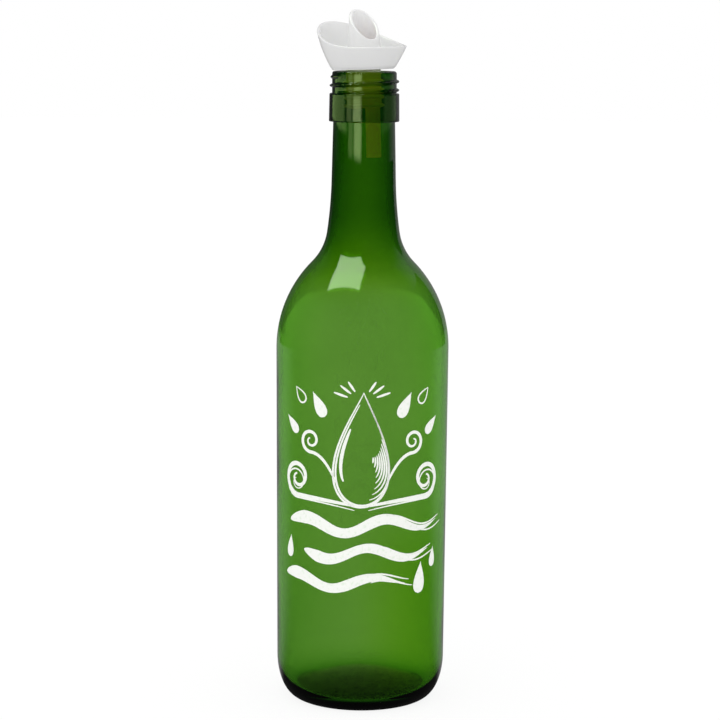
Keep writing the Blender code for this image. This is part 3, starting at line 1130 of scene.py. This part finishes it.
    def build(self, material: Material) -> Object:
        """Make the moulding with its vent tube and its two passages."""
        source = placed("pourer_source", self.moulding())
        above = self.cup_floor + self.past_face
        low = -self.vent_depth
        tube = self.rod("tube_helper", self.vent_offset, self.vent_radius, (low, -self.plug_depth / 2))
        vent = self.rod("vent_helper", self.vent_offset, self.vent_bore, (low - self.past_face, above))
        ends = (-self.plug_depth - self.past_face, above)
        oval = (self.channel_offset, self.channel_radius, ends, self.channel_stretch)
        channel = self.rod("channel_helper", *oval)
        steps = ((tube, "UNION"), (vent, "DIFFERENCE"), (channel, "DIFFERENCE"))
        for helper, operation in steps:
            modifier = source.modifiers.new(helper.name, "BOOLEAN")
            modifier.operation = operation
            modifier.solver = "EXACT"
            modifier.object = helper
        piece = plain_copy("pourer_moulding", source)
        for helper, _ in steps:
            bpy.data.objects.remove(helper)
        self.settle(piece, material)
        return finished(piece, "plastic", "pourer")

    def fins(self, material: Material) -> Object:
        """Repeat the sealing fins down the plug."""
        sheet = NodeSheet("SealingFins")
        pitch = sheet.size("Fin pitch", self.fin_pitch)
        reach = sheet.size("Fin reach", self.fin_radius - self.plug_radius)
        circle = "GeometryNodeCurvePrimitiveCircle"
        ring = sheet.add(circle, {"Resolution": 96, "Radius": self.plug_radius - self.fin_root})
        section = sheet.add(circle, {"Resolution": 16, "Radius": reach + self.fin_root})
        fin = sheet.add(
            "GeometryNodeCurveToMesh",
            {"Curve": ring.outputs["Curve"], "Profile Curve": section.outputs["Curve"]},
        )
        x, y, z = sheet.place()
        flat = sheet.size("Fin thickness", self.fin_thickness) / (reach + self.fin_root) * 0.5
        pressed = sheet.add(
            "GeometryNodeSetPosition", {"Geometry": fin.outputs[0], "Position": sheet.vector(x, y, z * flat)}
        )
        line = sheet.add(
            "GeometryNodeMeshLine",
            {
                "Count": self.fin_count,
                "Start Location": (0.0, 0.0, -self.fin_first_depth),
                "Offset": sheet.vector(0.0, 0.0, pitch * -1.0),
            },
        )
        row = sheet.add(
            "GeometryNodeInstanceOnPoints", {"Points": line.outputs[0], "Instance": pressed.outputs[0]}
        )
        sheet.end(row.outputs[0], material)
        piece = sheet.run("pourer_fins", bpy.data.meshes.new("fins_start"))
        self.settle(piece, material)
        return finished(piece, "plastic")

    def settle(self, piece: Object, material: Material) -> None:
        """Tilt a piece into the mouth and give it its material."""
        shift = Vector((-self.plug_depth * math.sin(self.tilt), 0.0, self.lip_height))
        piece.data.transform(Matrix.Translation(shift) @ Matrix.Rotation(-self.tilt, 4, "Y"))
        piece.data.materials.clear()
        piece.data.materials.append(material)


# The print


class Line(Enum):
    """How a stroke of the print is drawn."""

    PEN = "a thin line that thins out at both ends"
    BRUSH = "a broad stroke with a full start and a drawn-out end"
    DROP = "a filled drop"

    def width(self, share: float) -> float:
        """Give the width at a share of the stroke's length, as a share of its widest."""
        if self is Line.PEN:
            return 0.35 + 0.65 * math.sin(math.pi * share) ** 0.6
        if self is Line.BRUSH:
            start = min(share / 0.12, 1.0) ** 0.5
            end = min((1 - share) / 0.45, 1.0) ** 0.8
            return max(0.04, start * end * (0.86 + 0.14 * math.sin(9 * share + 1)))
        bend = math.acos(1 - 2 * share)
        return max(0.03, math.sin(bend) * math.sin(bend / 2) ** 1.4 / 0.8)


@dataclass(frozen=True)
class Stroke:
    """One stroke of the print, on the unrolled glass: distance round to the right, and height."""

    path: list[Pair]
    widest: float
    line: Line = Line.PEN


# The half width, height and shift in mm of the large drop's two outlines, and the part that is drawn
LARGE_DROP = ((13.0, 50.0, 0.0, (0.01, 0.99)), (12.3, 48.6, 0.5, (0.06, 0.9)))

# Each ripple's start, end, height and swing in mm, its waves and phase, and its half width in mm
RIPPLES = (
    (-36.0, 39.0, 84.5, 3.2, 2.0, 0.0, 3.2),
    (-27.0, 33.0, 72.0, 3.0, 1.6, 0.45, 2.9),
    (-39.0, 20.0, 59.5, 2.8, 1.5, 0.1, 3.1),
)

# The middle and the height of each drop that falls beside the ripples, in mm
FALLING_DROPS = ((28.0, 60.0, 14.0), (36.5, 68.0, 9.0), (-36.0, 72.5, 10.0))


@dataclass
class Print:
    """White ink on the front: a large drop with scrolls and small drops, over brushed ripples."""

    glass: GlassBottle
    middle: float = 118.0 * MM
    proud: float = 0.03 * MM
    sunk: float = 0.08 * MM
    ragged: float = 0.16 * MM
    ragged_noise: Pair = (1400.0, 2.0)
    pen: float = 0.5 * MM
    spacing: float = 0.45 * MM
    stem_bend: float = 0.45
    curls: float = 1.45
    curl_in: float = 0.82
    shade_lines: int = 8
    shade_pitch: float = 0.085
    ray_height: float = 139.0 * MM

    def drop(self, x: float, z: float, tall: float, wide: float, lean: float, part: Pair) -> list[Pair]:
        """Trace a drop's outline.

        Args:
            x: its middle, round to the right.
            z: its middle's height.
            tall: its full height.
            wide: half its width.
            lean: how far it leans to the right, in radians.
            part: the shares of the way round, clockwise from the tip, where the line starts and ends.

        Returns:
            The points of the line.
        """
        points = []
        for step in range(91):
            bend = math.tau * (part[0] + (part[1] - part[0]) * step / 90)
            across = wide * 1.3 * math.sin(bend) * abs(math.sin(bend / 2)) ** 1.3
            up = tall / 2 * math.cos(bend)
            right = x + across * math.cos(lean) + up * math.sin(lean)
            points.append((right, z - across * math.sin(lean) + up * math.cos(lean)))
        return points

    def scroll(self, start: Pair, hub: Pair, reach: float, side: int) -> list[Pair]:
        """Trace a stem that runs out from start and curls up round a hub.

        Args:
            start: where the stem starts.
            hub: the middle of the curl.
            reach: the curl's outer radius.
            side: 1 to the right, -1 to the left.

        Returns:
            The points of the line.
        """
        entry = (hub[0], hub[1] - reach)
        points = []
        pull = (start[0] + (entry[0] - start[0]) * self.stem_bend, entry[1])
        for step in range(40):
            t = step / 40
            pulls = ((1 - t) ** 2, 2 * t * (1 - t), t * t)
            knots = zip(pulls, (start, pull, entry))
            points.append(tuple(sum(share * np.array(knot) for share, knot in knots)))
        for step in range(90):
            t = step / 89
            turn = -math.pi / 2 + self.curls * math.tau * t
            radius = reach * (1 - self.curl_in * t)
            points.append((hub[0] + side * radius * math.cos(turn), hub[1] + radius * math.sin(turn)))
        return points

    def ripple(
        self, start: float, end: float, height: float, swing: float, waves: float, phase: float
    ) -> list[Pair]:
        """Trace a ripple.

        Args:
            start: where it starts, round to the right.
            end: where it ends.
            height: its middle height.
            swing: how far it swings up and down.
            waves: how many waves it has.
            phase: the share of a wave that it starts at.

        Returns:
            The points of the line.
        """
        points = []
        for step in range(121):
            t = step / 120
            lift = swing * math.sin(math.tau * (waves * t + phase)) * (0.55 + 0.45 * math.sin(math.pi * t))
            points.append((start + (end - start) * t, height + lift))
        return points

    def strokes(self) -> list[Stroke]:
        """Draw the whole design."""
        middle, pen = self.middle, self.pen
        found = []
        for wide, tall, shift, part in LARGE_DROP:
            found.append(Stroke(self.drop(shift * MM, middle, tall * MM, wide * MM, 0.03, part), pen))
        for k in range(self.shade_lines):
            inset = 1 - self.shade_pitch * (k + 1)
            part = (0.2 + 0.012 * k, 0.47 - 0.018 * k)
            path = self.drop(1.2 * MM, middle - 1.5 * MM, 45 * MM * inset, 12.6 * MM * inset, 0.03, part)
            found.append(Stroke(path, pen * 0.8))
        found.append(Stroke(self.drop(-0.6 * MM, middle, 38 * MM, 9 * MM, 0.0, (0.62, 0.83)), pen * 1.7))
        for side in (-1, 1):
            found += self.side_scrolls(side)
        for start, end, height, swing, count, phase, wide in RIPPLES:
            path = self.ripple(start * MM, end * MM, height * MM, swing * MM, count, phase)
            found.append(Stroke(path, wide * MM, Line.BRUSH))
            for first, ahead, aside, width in ((70, 2.0, 0.5, 0.8), (80, 4.0, -0.45, 0.7)):
                tail = [(x + ahead * MM, z + aside * wide * MM) for x, z in path[first:]]
                found.append(Stroke(tail, pen * width))
        for x, z, tall in FALLING_DROPS:
            found.append(self.filled(x * MM, z * MM, tall * MM, 0.1))
        return found

    def side_scrolls(self, side: int) -> list[Stroke]:
        """Draw the scrolls and small drops on one side."""
        found = []
        for shift, width in ((0.0, self.pen * 2.2), (1.9, self.pen * 0.8)):
            root = (side * 3.0 * MM, 93.5 * MM - shift * MM)
            hub = (side * (31.0 + 0.3 * shift) * MM, (104.0 - shift) * MM)
            found.append(Stroke(self.scroll(root, hub, (8.0 - shift * 0.4) * MM, side), width))
        hub = (side * 23.5 * MM, 121.0 * MM)
        found.append(Stroke(self.scroll((side * 11 * MM, 103 * MM), hub, 5.2 * MM, side), self.pen * 1.6))
        found.append(self.filled(side * 19.5 * MM, 137.0 * MM, 12.0 * MM, side * 0.5))
        found.append(self.filled(side * 34.5 * MM, 127.0 * MM, 10.0 * MM, side * 0.8))
        outline = self.drop(side * 29.5 * MM, 140.5 * MM, 8.0 * MM, 2.3 * MM, side * 0.7, (0.01, 0.99))
        found.append(Stroke(outline, self.pen * 0.8))
        for k in range(3):
            turn = math.radians(35 + 19 * k)
            reach = (10.5 + 1.2 * k) * MM
            sine, cosine = math.sin(turn), math.cos(turn)
            ray = [(side * far * sine, self.ray_height + far * cosine) for far in (reach * 0.5, reach)]
            found.append(Stroke(ray, self.pen * 1.1))
        return found

    def filled(self, x: float, z: float, tall: float, lean: float) -> Stroke:
        """Draw a filled drop about a middle point."""
        half = tall / 2
        top = (x + half * math.sin(lean), z + half * math.cos(lean))
        end = (x - half * math.sin(lean), z - half * math.cos(lean))
        return Stroke([top, end], tall * 0.27, Line.DROP)

    def lines(self) -> Mesh:
        """Lay every stroke out as a row of points on the unrolled glass, with its half width on each."""
        corners, edges, widths = [], [], []
        for stroke in self.strokes():
            path = np.array(stroke.path)
            gone = np.concatenate([[0], np.cumsum(np.linalg.norm(np.diff(path, axis=0), axis=1))])
            steps = max(8, round(float(gone[-1]) / self.spacing))
            first = len(corners)
            for step in range(steps + 1):
                share = step / steps
                across = float(np.interp(share * gone[-1], gone, path[:, 0]))
                up = float(np.interp(share * gone[-1], gone, path[:, 1]))
                corners.append((across, up, 0.0))
                widths.append(stroke.widest * stroke.line.width(share))
                if step:
                    edges.append((first + step - 1, first + step))
        mesh = bpy.data.meshes.new("print_lines")
        mesh.from_pydata(corners, edges, [])
        mesh.attributes.new("half_width", "FLOAT", "POINT").data.foreach_set("value", widths)
        return mesh

    def build(self, material: Material) -> Object:
        """Broaden the strokes, roughen their edges and wrap them round the glass."""
        sheet = NodeSheet("InkOnGlass")
        curve = sheet.add("GeometryNodeMeshToCurve", {"Mesh": sheet.entry.outputs[0]})
        level = sheet.add("GeometryNodeSetCurveNormal", {"Curve": curve.outputs[0]}, mode="Z_UP")
        section = sheet.add("GeometryNodeCurvePrimitiveCircle", {"Resolution": 8, "Radius": 1.0})
        turned = sheet.add(
            "GeometryNodeSetPosition", {"Geometry": section.outputs[0], "Position": self.half_step(sheet)}
        )
        ribbon = sheet.add(
            "GeometryNodeCurveToMesh",
            {
                "Curve": level.outputs[0],
                "Profile Curve": turned.outputs[0],
                "Scale": sheet.attribute("half_width"),
                "Fill Caps": True,
            },
        )
        noise = sheet.noise(*self.ragged_noise)
        shift = sheet.add("ShaderNodeSeparateXYZ", {0: noise.outputs["Color"]})
        ragged = sheet.size("Ragged edge", self.ragged)
        x, y, z = sheet.place()
        across = x + (Reading(sheet, shift.outputs[0]) - 0.5) * ragged
        height = y + (Reading(sheet, shift.outputs[1]) - 0.5) * ragged
        face = sheet.calc("GREATER_THAN", z, 0.0)
        lift = face * (sheet.size("Proud", self.proud) + sheet.size("Sunk", self.sunk)) - self.sunk
        glass = self.glass
        radius = (height - glass.heel_height) * math.tan(-glass.body_lean) + glass.heel_radius
        turn = across / radius
        out = radius + lift
        spot = sheet.vector(out * sheet.calc("SINE", turn), out * sheet.calc("COSINE", turn) * -1.0, height)
        wrapped = sheet.add("GeometryNodeSetPosition", {"Geometry": ribbon.outputs[0], "Position": spot})
        sheet.end(wrapped.outputs[0], material)
        piece = sheet.run("print_ink", self.lines())
        return finished(piece, "plastic", sharp=math.radians(60))

    def half_step(self, sheet: NodeSheet) -> Socket:
        """Turn the section by half a step, so that no point lies at mid-thickness."""
        x, y, _ = sheet.place()
        turn = math.pi / 8
        cosine, sine = math.cos(turn), math.sin(turn)
        return sheet.vector(x * cosine - y * sine, x * sine + y * cosine, 0.0)


# The studio


@dataclass(frozen=True)
class Softbox:
    """A soft rectangular light that shows in gloss, in shade or in both, but never in the picture.

    Its depth tells up to how many passes into or out of the glass it still shows.
    """

    name: str
    at: Triple
    towards: Triple
    size: Pair
    radiance: float
    colour: Triple = (1.0, 1.0, 1.0)
    edge: float = 0.12
    depth: float = 2.5
    roll: float = 0.0
    in_shade: bool = False
    in_gloss: bool = True

    def hang(self) -> Object:
        """Put the light into the scene."""
        light = bpy.data.lights.new(self.name, "AREA")
        light.shape = "RECTANGLE"
        light.size, light.size_y = self.size
        light.energy = math.pi * self.size[0] * self.size[1] * self.radiance
        light.color = self.colour
        light.use_nodes = True
        self.soften(light.node_tree)
        lamp = placed(self.name, light)
        aim = (Vector(self.towards) - Vector(self.at)).to_track_quat("-Z", "Y").to_matrix()
        lamp.matrix_world = Matrix.Translation(self.at) @ (aim @ Matrix.Rotation(self.roll, 3, "Z")).to_4x4()
        lamp.visible_camera = False
        lamp.visible_transmission = self.in_gloss
        lamp.visible_diffuse = self.in_shade
        lamp.visible_glossy = self.in_gloss
        return lamp

    def soften(self, tree: Tree) -> None:
        """Let the light fade at its edges, and keep it out of reflections inside the bottle."""
        spot = tree.nodes.new("ShaderNodeNewGeometry").outputs["Parametric"]
        level: Any = 1.0
        for share in split_place(tree, spot)[:2]:
            from_edge = maths(tree, "MINIMUM", share, maths(tree, "SUBTRACT", 1.0, share))
            level = maths(tree, "MULTIPLY", ramp_level(tree, from_edge, (0.0, self.edge, 0.0, 1.0)), level)
        path = tree.nodes.new("ShaderNodeLightPath")
        inside = maths(tree, "GREATER_THAN", path.outputs["Transmission Depth"], self.depth)
        feed(tree, tree.nodes["Emission"].inputs["Strength"], choose(tree, inside, level, 0.0))


# Where lights aim, and the depth of one that only the outer wall reflects
NECK = (0.0, 0.0, 0.25)
COLLAR = (0.0, 0.0, 0.2575)
OUTER_WALL = 0.5

# A key light that the shoulder shows, strips that only the neck and mouth show, and one for the shade
LIGHTS = (
    Softbox(
        "key_gloss", (-0.4625, -0.231, 1.606), (-0.0135, 0.232, 0.847), (1.17, 0.94), 6.5, (0.78, 1.0, 0.65),
        edge=0.07, roll=math.radians(17.7),
    ),
    Softbox(
        "front_gloss", (-0.6, -1.37, 0.24), NECK, (1.0, 0.07), 4.2, (0.75, 1.0, 0.42),
        edge=0.3, depth=OUTER_WALL,
    ),
    Softbox(
        "corner_gloss", (-1.166, -0.944, 0.24), NECK, (0.6, 0.07), 1.4, (0.75, 1.0, 0.4),
        edge=0.25, depth=OUTER_WALL,
    ),
    Softbox(
        "left_gloss", (-0.35, 0.04, 0.2575), COLLAR, (0.5, 0.026), 1.5, (0.6, 1.0, 0.3),
        edge=0.2, depth=OUTER_WALL,
    ),
    Softbox(
        "right_gloss", (0.35, 0.04, 0.2575), COLLAR, (0.5, 0.026), 0.4, (0.5, 1.0, 0.3),
        edge=0.2, depth=OUTER_WALL,
    ),
    Softbox("key_shade", (-0.7, -0.9, 1.1), NECK, (0.9, 0.9), 0.9, in_shade=True, in_gloss=False),
)


@dataclass(frozen=True)
class Studio:
    """The white table and surroundings, the lights and the camera."""

    focal: float = 114.3
    sensor: float = 36.0
    camera_at: Triple = (-0.00105, -1.0, 0.3)
    pitch: float = math.radians(8.449)
    roll: float = math.radians(0.421)
    sight: float = 50.0
    floor_reach: float = 6.0
    white: float = 1.0
    fill: float = 1.1
    fill_in_glass: float = 4.0
    left: float = 0.25
    card_radius: float = 0.1
    card_low: float = 0.152
    card_high: float = 0.2365
    card_turn: float = 125.0
    card_steps: int = 51
    card_glow: float = 0.02

    def camera(self) -> None:
        """Place the camera as it stood for the photograph."""
        data = bpy.data.cameras.new("camera")
        data.lens = self.focal
        data.sensor_width = self.sensor
        data.clip_end = self.sight
        camera = placed("camera", data)
        turn = Matrix.Rotation(math.pi / 2 - self.pitch, 3, "X") @ Matrix.Rotation(self.roll, 3, "Z")
        camera.location = self.camera_at
        camera.rotation_euler = turn.to_euler()
        bpy.context.scene.camera = camera

    def table(self) -> None:
        """Lay the white table under the bottle."""
        reach = self.floor_reach
        mesh = bpy.data.meshes.new("floor")
        corners = [(-reach, -reach, 0.0), (reach, -reach, 0.0), (reach, reach, 0.0), (-reach, reach, 0.0)]
        mesh.from_pydata(corners, [], [(0, 1, 2, 3)])
        floor = placed("floor", mesh)
        mesh.materials.append(PaleFloor().make())

    def card(self) -> None:
        """Stand a dark card round the front, which keeps the neck's lights off the shoulder."""
        count = self.card_steps
        turns = np.radians(np.linspace(-self.card_turn, self.card_turn, count))
        corners = [
            (self.card_radius * math.sin(turn), -self.card_radius * math.cos(turn), height)
            for height in (self.card_low, self.card_high)
            for turn in turns
        ]
        faces = [(side, side + 1, count + side + 1, count + side) for side in range(count - 1)]
        mesh = bpy.data.meshes.new("dark_card")
        mesh.from_pydata(corners, [], faces)
        material, tree, _ = start_material("dark_card")
        glow = tree.nodes.new("ShaderNodeEmission")
        glow.inputs["Strength"].default_value = self.card_glow
        feed(tree, tree.nodes["Material Output"].inputs["Surface"], glow.outputs["Emission"])
        mesh.materials.append(material)
        card = placed("dark_card", mesh)
        for sense in ("camera", "diffuse", "transmission", "shadow"):
            setattr(card, "visible_" + sense, False)

    def surroundings(self) -> None:
        """Make the surroundings white behind the bottle and dark in front of it, as gloss sees them."""
        world = bpy.data.worlds.new("studio")
        world.use_nodes = True
        bpy.context.scene.world = world
        tree = world.node_tree
        back = tree.nodes["Background"]
        place = tree.nodes.new("ShaderNodeTexCoord")
        path = tree.nodes.new("ShaderNodeLightPath")
        gloss = behind(tree, place.outputs["Generated"], GLOSS_ABOVE, self.left)
        seen = choose(tree, mirrored(tree), self.white, gloss)
        shade = choose(tree, path.outputs["Is Transmission Ray"], self.fill, self.fill_in_glass)
        feed(tree, back.inputs["Strength"], choose(tree, path.outputs["Diffuse Depth"], seen, shade))
        back.inputs["Color"].default_value = WHITE

    def build(self) -> None:
        """Set up the whole studio."""
        self.camera()
        self.table()
        self.card()
        self.surroundings()
        for light in LIGHTS:
            light.hang()
        bpy.context.scene.view_settings.view_transform = "Standard"


def main() -> None:
    """Build the bottle, its pourer, its print and the studio."""
    bottle = GlassBottle()
    bottle.build(GreenGlass().make())
    plastic = WhitePlastic().make()
    pourer = Pourer()
    pourer.build(plastic)
    pourer.fins(plastic)
    Print(bottle).build(WhiteInk().make())
    Studio().build()
    log.info("scene ready")


if __name__ == "__main__":
    main()
